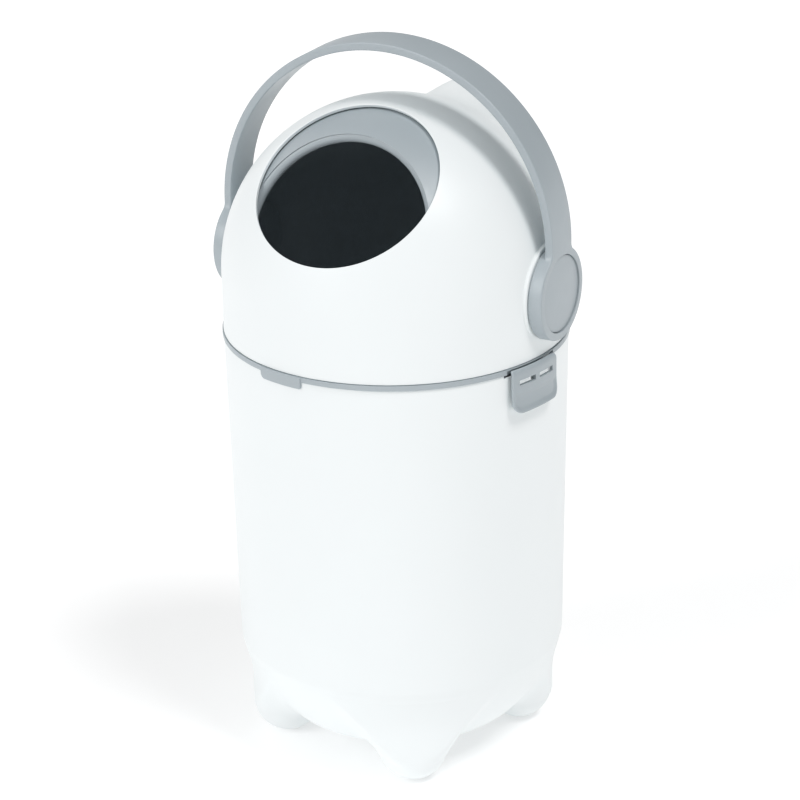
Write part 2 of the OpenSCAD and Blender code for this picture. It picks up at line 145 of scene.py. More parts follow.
def rounded_outline(corners, steps=4):
    """Outline points from corners (x, y, radius), each corner turned into an arc of its radius."""
    outline = []
    count = len(corners)
    for k, (x, y, radius) in enumerate(corners):
        here = np.array((x, y), dtype=float)
        if radius <= 0:
            outline.append(here)
            continue
        before = np.array(corners[k - 1][:2], dtype=float) - here
        after = np.array(corners[(k + 1) % count][:2], dtype=float) - here
        before /= np.linalg.norm(before)
        after /= np.linalg.norm(after)
        half = math.acos(np.clip(before @ after, -1, 1)) / 2
        middle = before + after
        centre = here + middle / np.linalg.norm(middle) * radius / math.sin(half)
        start = here + before * radius / math.tan(half) - centre
        end = here + after * radius / math.tan(half) - centre
        turn = math.atan2(start[0] * end[1] - start[1] * end[0], start @ end)
        for step in range(steps + 1):
            angle = turn * step / steps
            outline.append(centre + (start[0] * math.cos(angle) - start[1] * math.sin(angle),
                                     start[0] * math.sin(angle) + start[1] * math.cos(angle)))
    return np.array(outline)


def rounded_box(low, high, radius, steps):
    """Outline of a box from its low to its high corner, with its corners rounded, or sharp at radius 0."""
    return rounded_outline([(low[0], low[1], radius), (high[0], low[1], radius),
                            (high[0], high[1], radius), (low[0], high[1], radius)], steps)


def ring_of(name, outline, place, segments=RING_STEPS, axis="Z"):
    """A closed outline of (radius, height) turned about an axis, as a ring-shaped solid."""
    angles = np.arange(segments) * 2 * math.pi / segments
    radius, height = outline[:, 0][:, None], outline[:, 1][:, None]
    across = np.broadcast_to(height, (len(outline), segments))
    points = [radius * np.cos(angles), radius * np.sin(angles), across]
    if axis == "X":
        points = [points[2], points[0], points[1]]
    points = np.stack(points, axis=-1).reshape(-1, 3)
    return new_piece(name, points, grid_faces(len(outline), segments, close_rows=True), place)


def turned_solid(name, line, place, segments=RING_STEPS, axis="Z"):
    """A line of (radius, height) that starts and ends on the axis, turned into a solid."""
    angles = np.arange(segments) * 2 * math.pi / segments
    inner = line[1:-1]
    radius, height = inner[:, 0][:, None], inner[:, 1][:, None]
    across = np.broadcast_to(height, (len(inner), segments))
    points = np.stack((radius * np.cos(angles), radius * np.sin(angles), across), axis=-1).reshape(-1, 3)
    points = np.concatenate((points, [(0, 0, line[0][1]), (0, 0, line[-1][1])]))
    faces = grid_faces(len(inner), segments)
    first, last = len(points) - 2, len(points) - 1
    end = (len(inner) - 1) * segments
    for k in range(segments):
        after = (k + 1) % segments
        faces.append((first, after, k))
        faces.append((last, end + k, end + after))
    if axis == "X":
        points = points[:, [2, 0, 1]]
    return new_piece(name, points, faces, place)


def plate_from_outline(name, outline, thickness):
    """A flat plate with its thickness along X, from an outline of (y, z)."""
    count = len(outline)
    points = [(0, y, z) for y, z in outline] + [(thickness, y, z) for y, z in outline]
    faces = [list(range(count))[::-1], [count + k for k in range(count)]]
    faces += [(k, (k + 1) % count, count + (k + 1) % count, count + k) for k in range(count)]
    return new_piece(name, points, faces)


def slice_plate(mesh, spans, step):
    """Cuts the plate's faces along planes across Y and Z, so that it can bend smoothly."""
    work = bmesh.new()
    work.from_mesh(mesh)
    for axis, (low, high) in spans.items():
        for place in np.arange(low, high, step):
            normal = [0, 0, 0]
            normal[axis] = 1
            spot = [0, 0, 0]
            spot[axis] = place * MM
            geometry = work.verts[:] + work.edges[:] + work.faces[:]
            bmesh.ops.bisect_plane(work, geom=geometry, plane_co=spot, plane_no=normal, dist=WELD / 10)
    work.to_mesh(mesh)
    work.free()


def bevel_edges(mesh, width, segments, wanted):
    """Rounds the sharp edges for which wanted(edge) is true."""
    work = bmesh.new()
    work.from_mesh(mesh)
    bmesh.ops.remove_doubles(work, verts=work.verts, dist=WELD)
    edges = [edge for edge in work.edges if wanted(edge)]
    bmesh.ops.bevel(work, geom=edges, offset=width * MM, offset_type="OFFSET", segments=segments, profile=0.5,
                    affect="EDGES", clamp_overlap=True)
    work.to_mesh(mesh)
    work.free()


def bend_round(mesh, bend):
    """Moves every vertex of a flat plate to its place on the bent one."""
    points = np.empty(len(mesh.vertices) * 3)
    mesh.vertices.foreach_get("co", points)
    mesh.vertices.foreach_set("co", (bend(points.reshape(-1, 3) / MM) * MM).ravel())


def combine(target, others, operation):
    """Joins or cuts closed pieces into one mesh with a boolean, and removes the others."""
    for other in others:
        step = target.modifiers.new("combine", "BOOLEAN")
        step.operation = operation
        step.solver = "MANIFOLD"
        step.object = other
    depsgraph = bpy.context.evaluated_depsgraph_get()
    made = bpy.data.meshes.new_from_object(target.evaluated_get(depsgraph))
    target.modifiers.clear()
    old = target.data
    target.data = made
    made.name = target.name
    bpy.data.meshes.remove(old)
    for other in others:
        bpy.data.objects.remove(other)


head_place = Matrix.Translation((0, 0, HUB_Z * MM)) @ Matrix.Rotation(HEAD_TURN, 4, "Z")
half_turn = Matrix.Rotation(math.pi, 4, "Z")
SIDES = {"right": head_place, "left": head_place @ half_turn}
TUB_SIDES = {"right": Matrix.Identity(4), "left": half_turn}


# Tub: side, belly and feet as one smooth skin
TUB_COLUMNS = 480
FEET = 4
FOOT_BLEND = 9.5
SOFT_BLEND = 2.5
BELLY_RAYS = 110
UNDER_STEP = 1.6
SIDE_ROWS = 24
RIM_ROUND = 1.0
RIM_STEPS = 4
CURVE_ROWS = 27
FLOOR_ROWS = 11
FLOOR_MIDDLE_R = 4.0
FLARE_REACH = 1.3
FLARE_OVERLAP = 1.0
UNDER_SEARCH = 2.0
BELLY_SEARCH = 25.0
SEARCH_STEPS = 160
REFINE_STEPS = 24


def tub_out(z):
    return TUB_R - TUB_TAPER * (SEAM_Z - z)


def smooth_min(a, b, reach):
    share = np.clip(0.5 + 0.5 * (b - a) / reach, 0, 1)
    return b + (a - b) * share - reach * share * (1 - share)


def smooth_max(a, b, reach):
    return -smooth_min(-a, -b, reach)


def belly_distance(r, z):
    """Distance to the tub's side and belly, a rounded curve from the side's foot in to the flat underside."""
    run = tub_out(BELLY_Z) - UNDER_R
    rise = BELLY_Z - UNDER_Z
    out = np.maximum(r - UNDER_R, TINY) / run
    down = np.maximum(BELLY_Z - z, TINY) / rise
    scaled = (out ** BELLY_POWER + down ** BELLY_POWER) ** (1 / BELLY_POWER)
    slope_out = (out / scaled) ** (BELLY_POWER - 1) / run
    slope_down = (down / scaled) ** (BELLY_POWER - 1) / rise
    slope = np.hypot(slope_out, slope_down)
    return np.where(z > BELLY_Z, r - tub_out(z), (scaled - 1) / slope)


def foot_distance(r, z, from_foot):
    """Distance to the nearest foot: a ball below and a flare that spreads into the belly, cut off outside."""
    along = r * np.cos(from_foot) - FOOT_RING_R
    aside = r * np.sin(from_foot)
    local = np.hypot(along, aside)
    centre_z = FOOT_R - FOOT_FLAT
    ball = np.hypot(local, z - centre_z) - FOOT_R
    flare_h = FLARE_HIGH_Z - FLARE_LOW_Z
    height = np.clip((z - FLARE_LOW_Z) / flare_h, TINY, FLARE_REACH)
    flare_r = FOOT_R + FOOT_SPREAD * height ** FLARE_POWER
    slope = FOOT_SPREAD * FLARE_POWER / flare_h * height ** (FLARE_POWER - 1)
    flare = (local - flare_r) / np.sqrt(1 + slope ** 2)
    flare = np.maximum(flare, FLARE_LOW_Z + FLARE_OVERLAP - z)
    foot = smooth_min(ball, flare, SOFT_BLEND)
    foot = smooth_max(foot, r - (FOOT_RING_R + FOOT_R), SOFT_BLEND)
    return np.maximum(foot, z - FLARE_TOP_Z)


def outermost(origin_r, origin_z, along_r, along_z, reach, from_foot):
    """Outermost place where each ray leaves the tub, found by a search from outside and then halving."""
    def inside(travel):
        r = origin_r + along_r * travel
        z = origin_z + along_z * travel
        return smooth_min(belly_distance(r, z), foot_distance(r, z, from_foot), FOOT_BLEND) < 0

    shape = np.broadcast(origin_r, along_r, from_foot).shape
    low = np.zeros(shape)
    high = np.full(shape, reach, dtype=float)
    found = np.zeros(shape, dtype=bool)
    step = reach / SEARCH_STEPS
    for k in range(SEARCH_STEPS):
        travel = reach - (k + 1) * step
        hit = inside(travel) & ~found
        low[hit] = travel
        high[hit] = travel + step
        found |= hit
    for _ in range(REFINE_STEPS):
        middle = (low + high) / 2
        within = inside(middle)
        low = np.where(within, middle, low)
        high = np.where(within, high, middle)
    return origin_r + along_r * low, origin_z + along_z * low


def tub_outer_rows():
    """Rows of (r, z) per column, from the middle of the underside out over the feet and up to the rim."""
    angles = np.arange(TUB_COLUMNS) * 2 * math.pi / TUB_COLUMNS
    pitch = 2 * math.pi / FEET
    from_foot = (np.mod(angles, pitch) - pitch / 2)[None, :]
    under = np.arange(UNDER_STEP, UNDER_R, UNDER_STEP)[:, None]
    under_r, under_z = outermost(under, BELLY_Z, np.zeros_like(under), -np.ones_like(under),
                                 BELLY_Z + UNDER_SEARCH, from_foot)
    ray = np.linspace(math.pi / 2, 0, BELLY_RAYS)[:, None]
    belly_r, belly_z = outermost(np.full_like(ray, UNDER_R), BELLY_Z, np.cos(ray), -np.sin(ray),
                                 BELLY_Z + BELLY_SEARCH, from_foot)
    side_z = np.linspace(BELLY_Z, RIM_Z - RIM_ROUND, SIDE_ROWS)[1:, None]
    side_z = np.broadcast_to(side_z, (SIDE_ROWS - 1, TUB_COLUMNS))
    rows_r = np.concatenate((under_r, belly_r, tub_out(side_z)))
    rows_z = np.concatenate((under_z, belly_z, side_z))
    return rows_r, np.maximum(rows_z, 0)


def tub_inner_line():
    """The rim and the inside as one line of (r, z), from the outside of the rim down to near the middle."""
    out_r = tub_out(RIM_Z)
    in_r = out_r - WALL
    turn = np.linspace(0, math.pi / 2, RIM_STEPS + 1)[1:]
    rim_outside = np.stack((out_r - RIM_ROUND + RIM_ROUND * np.cos(turn),
                            RIM_Z - RIM_ROUND + RIM_ROUND * np.sin(turn)), axis=1)
    rim_inside = np.stack((in_r + RIM_ROUND - RIM_ROUND * np.sin(turn),
                           RIM_Z - RIM_ROUND + RIM_ROUND * np.cos(turn)), axis=1)
    rim_start = np.array([[in_r + RIM_ROUND, RIM_Z]])
    wall_z = np.linspace(RIM_Z - RIM_ROUND, BELLY_Z, SIDE_ROWS)[1:]
    wall = np.stack((tub_out(wall_z) - WALL, wall_z), axis=1)
    curve = np.linspace(math.pi / 2, 0, CURVE_ROWS + 1)[1:]
    run = tub_out(BELLY_Z) - UNDER_R - WALL
    rise = BELLY_Z - UNDER_Z - WALL
    power = 2 / BELLY_POWER
    belly_r = UNDER_R + run * np.sin(curve) ** power
    belly_z = BELLY_Z - rise * np.cos(curve) ** power
    belly = np.stack((belly_r, belly_z), axis=1)
    floor_r = np.linspace(UNDER_R, FLOOR_MIDDLE_R, FLOOR_ROWS + 1)[1:]
    floor = np.stack((floor_r, np.full_like(floor_r, UNDER_Z + WALL)), axis=1)
    return np.concatenate((rim_outside, rim_start, rim_inside, wall, belly, floor))


def make_tub():
    rows_r, rows_z = tub_outer_rows()
    inner = tub_inner_line()
    ones = np.ones(TUB_COLUMNS)
    rows_r = np.concatenate((rows_r, inner[:, :1] * ones))
    rows_z = np.concatenate((rows_z, inner[:, 1:] * ones))
    angles = np.arange(TUB_COLUMNS) * 2 * math.pi / TUB_COLUMNS
    points = np.stack((rows_r * np.cos(angles), rows_r * np.sin(angles), rows_z), axis=-1).reshape(-1, 3)
    rows = len(rows_r)
    faces = grid_faces(rows, TUB_COLUMNS)
    under_middle = len(points)
    floor_middle = under_middle + 1
    points = np.concatenate((points, [(0, 0, UNDER_Z), (0, 0, UNDER_Z + WALL)]))
    last = (rows - 1) * TUB_COLUMNS
    for k in range(TUB_COLUMNS):
        after = (k + 1) % TUB_COLUMNS
        faces.append((under_middle, after, k))
        faces.append((floor_middle, last + k, last + after))
    tub = new_piece("tub_skin", points, faces)
    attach(tub, "base")
    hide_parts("tub")
    return tub


# Dome: one skin about the mouth's axis, with a rounded mouth edge and the rear rest
DOME_COLUMNS = 480
DOME_ROWS = 190
MOUTH_R = math.sqrt(TUB_R ** 2 - MOUTH_H ** 2)
MOUTH_ROUND = 0.5
MOUTH_INNER_ROUND = 0.5
DOME_EDGE_ROUND = 0.8
REST_INNER_SPREAD = math.radians(26)
UNDER_SEAT_X = 131.0
SEAT_HOLE_R = 36.5
SEAT_ROUND = 0.9
SEAT_BORE_ROUND = 0.3
SEAT_OVERLAP = 0.4
SEAT_CUT_X = (120.0, 140.0)
SEAT_CUT_R = 0.5
SEAT_CUT_STEPS = 180
TURN_STEPS = 5
# How much closer the dome's rows lie near the mouth and the foot, as a share of its length
ROW_CROWDING = 0.038
MOUTH_AXIS = np.array((0, -math.cos(MOUTH_TILT), math.sin(MOUTH_TILT)))
MOUTH_UP = np.array((0, math.sin(MOUTH_TILT), math.cos(MOUTH_TILT)))
REST_AXIS = np.array((0, math.cos(REST_TILT), math.sin(REST_TILT)))


def dome_radius(way, radius, rest_height, rest_spread, seat_x):
    """Distance from the dome's centre to its surface along unit directions: ball, rest, seats and foot."""
    away = np.arccos(np.clip(way @ REST_AXIS, -1, 1))
    bell = np.where(away < rest_spread, (0.5 + 0.5 * np.cos(math.pi * away / rest_spread)) ** 2, 0)
    reach = radius + rest_height * bell
    reach = np.minimum(reach, seat_x / np.maximum(np.abs(way[..., 0]), TINY))
    level = np.maximum(np.hypot(way[..., 0], way[..., 1]), TINY)
    return np.where(way[..., 2] < 0, np.minimum(radius / level, reach / level), reach)


def slerp(start, end, share):
    """Unit directions on the shortest way round from start to end."""
    angle = np.arccos(np.clip((start * end).sum(-1, keepdims=True), -1, 1))
    return (np.sin((1 - share) * angle) * start + np.sin(share * angle) * end) / np.sin(angle)


def dome_layer(start_angle, end_z, radius, rest_height, rest_spread, seat_x):
    """Rows of one face of the dome, from the mouth's edge to the straight foot."""
    turn = (np.arange(DOME_COLUMNS) * 2 * math.pi / DOME_COLUMNS)[:, None]
    spoke = np.cos(turn) * np.array((1, 0, 0)) + np.sin(turn) * MOUTH_UP
    start = math.cos(start_angle) * MOUTH_AXIS + math.sin(start_angle) * spoke
    end = np.concatenate((np.cos(turn) * radius, np.sin(turn) * radius, np.full_like(turn, end_z)), axis=1)
    end /= np.linalg.norm(end, axis=1, keepdims=True)
    share = np.linspace(0, 1, DOME_ROWS)[:, None, None]
    share = share - ROW_CROWDING * np.sin(2 * math.pi * share)
    way = slerp(start[None], end[None], share)
    return way * dome_radius(way, radius, rest_height, rest_spread, seat_x)[..., None]


def make_dome():
    turn = (np.arange(DOME_COLUMNS) * 2 * math.pi / DOME_COLUMNS)[:, None]
    spoke = np.cos(turn) * np.array((1, 0, 0)) + np.sin(turn) * MOUTH_UP
    flat = np.concatenate((np.cos(turn), np.sin(turn), np.zeros_like(turn)), axis=1)
    inner_r = TUB_R - WALL
    foot_z = SEAM_Z - HUB_Z

    edge_r = MOUTH_R + MOUTH_ROUND
    edge_h = math.sqrt((TUB_R - MOUTH_ROUND) ** 2 - edge_r ** 2)
    edge_angle = math.atan2(edge_r, edge_h)
    inner_edge_r = MOUTH_R + MOUTH_INNER_ROUND
    inner_edge_h = math.sqrt((inner_r + MOUTH_INNER_ROUND) ** 2 - inner_edge_r ** 2)
    inner_angle = math.atan2(inner_edge_r, inner_edge_h)

    rows = [dome_layer(edge_angle, foot_z + DOME_EDGE_ROUND, TUB_R, REST_H - REST_SINK, REST_SPREAD,
                       UNDER_SEAT_X)]
    foot = []
    for step in range(1, TURN_STEPS + 1):
        angle = math.pi / 2 * step / TURN_STEPS
        foot.append((TUB_R - DOME_EDGE_ROUND + DOME_EDGE_ROUND * math.cos(angle),
                     foot_z + DOME_EDGE_ROUND - DOME_EDGE_ROUND * math.sin(angle)))
    foot.append((inner_r + MOUTH_INNER_ROUND, foot_z))
    for radius, height in foot:
        rows.append((radius * flat + height * np.array((0, 0, 1)))[None])
    rows.append(dome_layer(inner_angle, foot_z + DOME_EDGE_ROUND, inner_r, REST_H - WALL / 2 - REST_SINK,
                           REST_INNER_SPREAD, SEAT_IN_X)[::-1])
    mouth = []
    for step in range(1, TURN_STEPS + 1):
        start = math.pi * 1.5 - inner_angle
        angle = start + (math.pi - start) * step / TURN_STEPS
        mouth.append((inner_edge_r + MOUTH_INNER_ROUND * math.cos(angle),
                      inner_edge_h + MOUTH_INNER_ROUND * math.sin(angle)))
    for step in range(TURN_STEPS):
        angle = math.pi + (math.pi / 2 - edge_angle - math.pi) * step / TURN_STEPS
        mouth.append((edge_r + MOUTH_ROUND * math.cos(angle), edge_h + MOUTH_ROUND * math.sin(angle)))
    for radius, height in mouth:
        rows.append((radius * spoke + height * MOUTH_AXIS)[None])
    points = np.concatenate(rows)
    faces = grid_faces(len(points), DOME_COLUMNS, close_rows=True)
    dome = new_piece("dome_skin", points.reshape(-1, 3), faces)
    cutters = []
    for side in (-1, 1):
        near_x, far_x = (side * x for x in SEAT_CUT_X)
        outline = rounded_box((SEAT_CUT_R, near_x), (SEAT_HOLE_R, far_x), 0, 1)
        cutters.append(ring_of("seat_cut", outline, Matrix.Identity(4), SEAT_CUT_STEPS, "X"))
    combine(dome, cutters, "DIFFERENCE")
    dome.data.transform(head_place)
    shade(dome.data, SHARP_BODY)
    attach(dome, "head")
    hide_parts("dome")
    return dome


def make_seats():
    """Flat round seats for the hubs, with the bushes' holes."""
    seats = []
    for side, place in SIDES.items():
        outline = rounded_outline([(BUSH_R, SEAT_IN_X, 0), (SEAT_R, SEAT_IN_X - SEAT_OVERLAP, 0),
                                   (SEAT_R, SEAT_X, SEAT_ROUND), (BUSH_R, SEAT_X, SEAT_BORE_ROUND)])
        seat = ring_of("hub_seat_" + side, outline, place, axis="X")
        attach(seat, "head")
        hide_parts("dome")
        seats.append(seat)
    return seats


# Handle: a hoop of flat bar, a hub each side and the hollow fillets between them
BAR_ROUND = 1.2
HUB_ROUND = 1.2
HUB_BACK_ROUND = 0.8
POCKET_ROUND = 0.35
CAP_GAP = 0.4
CAP_PROUD = 0.3
CAP_ROUND = 0.6
CAP_BACK_X = 142.0
CAP_WALL = 1.4
SOCKET_X = 138.0
SOCKET_R = 14.0
SOCKET_ROUND = 0.3
SCREW_HOLE_R = 2.2
CAP_LIFT = 0.05
WEB_R = 7.0
WEB_DEPTH = 3.0
WEB_STEPS = 14
BAR_STEPS = 6
LEG_ROWS = 3
HOOP_STEPS = 180
LEG_END = 32.0
# Faces that would lie in one plane are moved apart by this much before they are joined
SHY = 0.02


def make_hoop():
    half_w = HOOP_W / 2
    in_r = HOOP_R - HOOP_T
    section = rounded_box((in_r, -half_w), (HOOP_R, half_w), BAR_ROUND, BAR_STEPS)
    rows = []
    for height in np.linspace(LEG_END, LEG_L, LEG_ROWS + 1)[:-1]:
        rows.append(np.stack((section[:, 0], section[:, 1], np.full(len(section), height)), axis=1))
    for angle in np.linspace(0, math.pi, HOOP_STEPS):
        rows.append(np.stack((section[:, 0] * math.cos(angle), section[:, 1],
                              LEG_L + section[:, 0] * math.sin(angle)), axis=1))
    for height in np.linspace(LEG_L, LEG_END, LEG_ROWS + 1)[1:]:
        rows.append(np.stack((-section[:, 0], section[:, 1], np.full(len(section), height)), axis=1))
    faces = grid_faces(len(rows), len(section))
    faces.append(list(range(len(section)))[::-1])
    faces.append([(len(rows) - 1) * len(section) + k for k in range(len(section))])
    return new_piece("handle_skin", np.concatenate(rows), faces)


def make_web(front):
    """Hollow fillet between a leg's edge and the hub's rim, as a curved prism that runs in under both."""
    half_w = HOOP_W / 2
    centre = np.array((half_w + WEB_R, math.sqrt((HUB_R + WEB_R) ** 2 - (half_w + WEB_R) ** 2)))
    first = math.pi
    last = math.atan2(-centre[1], -centre[0]) + 2 * math.pi
    low_x = HOOP_R - HOOP_T + SHY
    high_x = HOOP_R - SHY
    rows = []
    for angle in np.linspace(first, last, WEB_STEPS):
        way = np.array((math.cos(angle), math.sin(angle)))
        edge = centre + WEB_R * way
        anchor = edge + way * WEB_DEPTH
        line = [(anchor, low_x)]
        for bend in np.linspace(0, math.pi / 2, TURN_STEPS + 1):
            spot = edge + way * BAR_ROUND * (1 - math.sin(bend))
            line.append((spot, low_x + BAR_ROUND * (1 - math.cos(bend))))
        for bend in np.linspace(0, math.pi / 2, TURN_STEPS + 1):
            spot = edge + way * BAR_ROUND * (1 - math.cos(bend))
            line.append((spot, high_x - BAR_ROUND * (1 - math.sin(bend))))
        line.append((anchor, high_x))
        rows.append([(x, front * spot[0], spot[1]) for spot, x in line])
    count = len(rows[0])
    faces = grid_faces(len(rows), count)
    faces.append(list(range(count))[::-1])
    faces.append([(len(rows) - 1) * count + k for k in range(count)])
    return new_piece("web", np.array(rows).reshape(-1, 3), faces)


def make_hub():
    face_x = HOOP_R - SHY
    pocket_r = CAP_R + CAP_GAP
    outline = rounded_outline([(SOCKET_R, HUB_IN_X, SOCKET_ROUND), (HUB_R, HUB_IN_X, HUB_BACK_ROUND),
                               (HUB_R, face_x, HUB_ROUND), (pocket_r, face_x, POCKET_ROUND),
                               (pocket_r, CAP_POCKET_X, 0), (SCREW_HOLE_R, CAP_POCKET_X, 0),
                               (SCREW_HOLE_R, SOCKET_X, 0), (SOCKET_R, SOCKET_X, 0)], BAR_STEPS)
    return ring_of("hub", outline, Matrix.Identity(4), axis="X")


def make_handle():
    handle = make_hoop()
    parts = []
    for turn in (Matrix.Identity(4), half_turn):
        for piece in (make_hub(), make_web(1), make_web(-1)):
            piece.data.transform(turn)
            parts.append(piece)
    combine(handle, parts, "UNION")
    handle.data.transform(head_place)
    shade(handle.data, SHARP_SMALL)
    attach(handle, "turner")
    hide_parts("handle")
    return handle


def make_caps():
    """Thin discs set in the hubs' pockets, each with a short rim behind."""
    caps = []
    rim_x = CAP_POCKET_X + CAP_LIFT
    face_x = HOOP_R + CAP_PROUD
    for side, place in SIDES.items():
        corners = rounded_outline([(CAP_R - CAP_WALL, CAP_BACK_X, 0), (CAP_R - CAP_WALL, rim_x, 0),
                                   (CAP_R, rim_x, 0), (CAP_R, face_x, CAP_ROUND)], BAR_STEPS)
        line = np.concatenate(([(0, CAP_BACK_X)], corners, [(0, face_x)]))
        cap = turned_solid("hub_cap_skin_" + side, line, place, axis="X")
        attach(cap, "turner")
        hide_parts("hub_cap_" + side)
        caps.append(cap)
    return caps


# Clasps: a flat plate with rounded edges, cut, then bent round the tub and out into the finger lip
CLASP_IN_R = 137.8
CLASP_T = 2.6
CLASP_LOW_Z = 315.0
CLASP_TOP_Z = 351.0
CLASP_HALF_W = 26.8
CLASP_EDGE = 0.9
SHOULDER_Z = 345.0
SHOULDER_R = 137.0
SHOULDER_TURN = math.radians(80)
SHOULDER_RISE = 3.9
SHOULDER_GAIN = 0.54
LIP_LENGTH = 18.0
LIP_RISE = 2.1
LIP_BEAD = 0.2
SCOOP_TOP_Z = 331.5
SCOOP_FADE = 5.0
SCOOP_RIM = 1.7
SCOOP_SLOPE = 2.2
SCOOP_DEPTH = 1.2
CORNER_LOW = 9.0
CORNER_BACK = 6.0
CORNER_FRONT = 1.2
SLOT_Z = 339.2
SLOT_OFF = 11.2
SLOT_W = 17.7
SLOT_H = 4.4
SLOT_ROUND = 0.5
PIVOT_X = 136.2
PIVOT_Z = 346.7
BARREL_R = 1.9
BARREL_BORE = 0.95
BARREL_HALF = 10.6
EAR_LOW = 10.65
EAR_HIGH = 14.85
EAR_ROOM_R = 2.25
EAR_ROOM_X = 0.7
EAR_BLOCK = 10.0
BARREL_ROUND = 0.3
CORNER_STEPS = 12
EDGE_STEPS = 4
SMALL_STEPS = 3
SLOT_CUT = 10.0
BEND_STEP = 1.0
PAST_EDGE = 1.0
# Edges are told apart by where they lie, give or take this much, in millimetres
EDGE_SLACK = 0.1
PLATE_R = CLASP_IN_R + CLASP_T / 2
HINGE = Matrix.Translation((PIVOT_X * MM, 0, PIVOT_Z * MM)) @ Matrix.Rotation(-math.pi / 2, 4, "X")


def smooth_step(value):
    value = np.clip(value, 0, 1)
    return value * value * (3 - 2 * value)


def scoop(across, height):
    """Share of the scoop's full depth at places on the flat plate: none at the rim and above the lip."""
    to_side = CLASP_HALF_W - np.abs(across)
    to_low = height - CLASP_LOW_Z
    near = np.minimum(to_side, to_low)
    corner = CORNER_LOW - np.hypot(np.maximum(CORNER_LOW - to_side, 0), np.maximum(CORNER_LOW - to_low, 0))
    near = np.where((to_side < CORNER_LOW) & (to_low < CORNER_LOW), corner, near)
    return smooth_step((near - SCOOP_RIM) / SCOOP_SLOPE) * smooth_step((SCOOP_TOP_Z - height) / SCOOP_FADE)


def clasp_bend(points):
    """Places on the bent clasp for points (depth, across, height) of the flat plate, in millimetres."""
    depth, across, height = points[:, 0], points[:, 1], points[:, 2]
    share = np.clip((CLASP_LOW_Z + LIP_LENGTH - height) / LIP_LENGTH, 0, 1)
    depth = depth * (1 + LIP_BEAD * share ** 6) - SCOOP_DEPTH * scoop(across, height) * depth / CLASP_T
    turn = SHOULDER_TURN * np.clip((height - SHOULDER_Z) / (CLASP_TOP_Z - SHOULDER_Z), 0, 1)
    low_r = CLASP_IN_R + depth + LIP_RISE * share ** 2
    high_r = SHOULDER_R + (CLASP_IN_R - SHOULDER_R + depth) * np.cos(turn)
    high_z = SHOULDER_Z + (SHOULDER_RISE + SHOULDER_GAIN * depth) * np.sin(turn)
    radius = np.where(height > SHOULDER_Z, high_r, low_r)
    z = np.where(height > SHOULDER_Z, high_z, height)
    angle = across / PLATE_R
    return np.stack((radius * np.cos(angle), radius * np.sin(angle), z), axis=1)


def ear_room(side_sign):
    """Room for one of the collar's ears behind the clasp: a short cylinder on the hinge line and a block."""
    low, high = sorted((side_sign * EAR_LOW, side_sign * EAR_HIGH))
    line = np.array([(0, low), (EAR_ROOM_R, low), (EAR_ROOM_R, high), (0, high)])
    round_room = turned_solid("ear_room", line, HINGE, BORE_STEPS)
    block_line = rounded_box((low, PIVOT_Z), (high, PIVOT_Z + EAR_BLOCK), 0, 1)
    block = plate_from_outline("ear_block", block_line, EAR_BLOCK)
    block.data.transform(Matrix.Translation(((PIVOT_X + EAR_ROOM_X - EAR_BLOCK) * MM, 0, 0)))
    return [round_room, block]


def make_clasp(side):
    """The finger flap: a plate with two slots, bent round the tub, with a barrel on the hinge line behind."""
    outline = rounded_outline([(CLASP_HALF_W, CLASP_TOP_Z, CORNER_BACK),
                               (-CLASP_HALF_W, CLASP_TOP_Z, CORNER_FRONT),
                               (-CLASP_HALF_W, CLASP_LOW_Z, CORNER_LOW),
                               (CLASP_HALF_W, CLASP_LOW_Z, CORNER_LOW)], CORNER_STEPS)
    clasp = plate_from_outline("clasp_skin_" + side, outline, CLASP_T)
    bevel_edges(clasp.data, CLASP_EDGE, EDGE_STEPS,
                lambda edge: abs(edge.verts[0].co.x - edge.verts[1].co.x) < EDGE_SLACK * MM)
    cutters = []
    for middle in (-SLOT_OFF, SLOT_OFF):
        window = rounded_box((middle - SLOT_W / 2, SLOT_Z - SLOT_H / 2),
                             (middle + SLOT_W / 2, SLOT_Z + SLOT_H / 2), SLOT_ROUND, SMALL_STEPS)
        cutter = plate_from_outline("slot_cut", window, SLOT_CUT)
        cutter.data.transform(Matrix.Translation((-SLOT_CUT / 2 * MM, 0, 0)))
        cutters.append(cutter)
    combine(clasp, cutters, "DIFFERENCE")
    slice_plate(clasp.data, {1: (-CLASP_HALF_W - PAST_EDGE, CLASP_HALF_W + PAST_EDGE),
                             2: (CLASP_LOW_Z - PAST_EDGE, CLASP_TOP_Z + PAST_EDGE)}, BEND_STEP)
    bend_round(clasp.data, clasp_bend)
    combine(clasp, ear_room(-1) + ear_room(1), "DIFFERENCE")
    barrel_line = rounded_outline([(BARREL_R, -BARREL_HALF, BARREL_ROUND),
                                   (BARREL_R, BARREL_HALF, BARREL_ROUND),
                                   (BARREL_BORE, BARREL_HALF, 0), (BARREL_BORE, -BARREL_HALF, 0)])
    combine(clasp, [ring_of("barrel", barrel_line, HINGE, BARREL_STEPS)], "UNION")
    clasp.data.transform(TUB_SIDES[side])
    shade(clasp.data, SHARP_SMALL)
    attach(clasp, "flap_" + side)
    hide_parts("clasp_" + side)
    return clasp


# The tub's lugs, seen in the clasps' slots. They reach into the slots, while the CAD's stop just short of them
LUG_W = 13.6
LUG_H = 3.2
LUG_SHIFT = -1.7
LUG_OUT_R = 138.9
LUG_DEPTH = 5.4
LUG_ROUND = 0.4


def lug_bend(points):
    angle = points[:, 1] / LUG_OUT_R
    radius = LUG_OUT_R - LUG_DEPTH + points[:, 0]
    return np.stack((radius * np.cos(angle), radius * np.sin(angle), points[:, 2]), axis=1)


